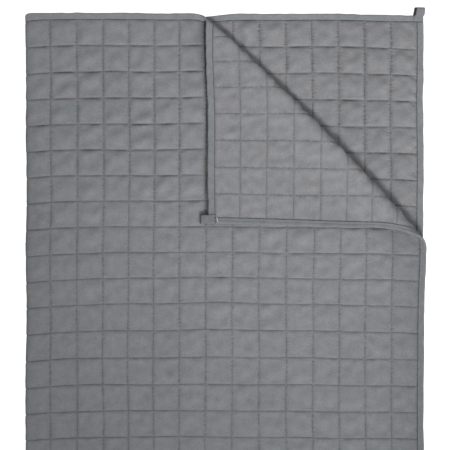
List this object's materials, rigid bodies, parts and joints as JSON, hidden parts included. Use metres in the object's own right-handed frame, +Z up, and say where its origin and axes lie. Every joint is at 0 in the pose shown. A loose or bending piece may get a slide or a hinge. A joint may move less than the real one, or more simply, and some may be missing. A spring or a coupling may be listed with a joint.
{
  "type": "weighted blanket, folded in half with one corner turned back",
  "caption": "Grey quilted weighted blanket, stitched in five centimetre squares and bound with flat tape, folded in half along its length with the upper head corner turned back in a loose diagonal roll.",
  "frame": {"origin": "middle of the folded blanket's underside, on the surface it lies on", "axes": "+X from the fold towards the open edges, +Y towards the head end with the turned-back corner, +Z up"},
  "size_m": [0.7548, 2.0274, 0.0406],
  "materials": {
    "cotton": "matt plain weave cotton, mid grey, quilted",
    "tape": "matt woven tape, mid grey"
  },
  "bodies": {
    "root": {"quilted_cloth": "cotton", "binding_head": "tape", "binding_foot": "tape", "binding_side_upper": "tape", "binding_side_lower": "tape", "loop_head_lower": "tape", "loop_head_upper": "tape", "loop_foot_lower": "tape", "loop_foot_upper": "tape"}
  },
  "joints": []
}
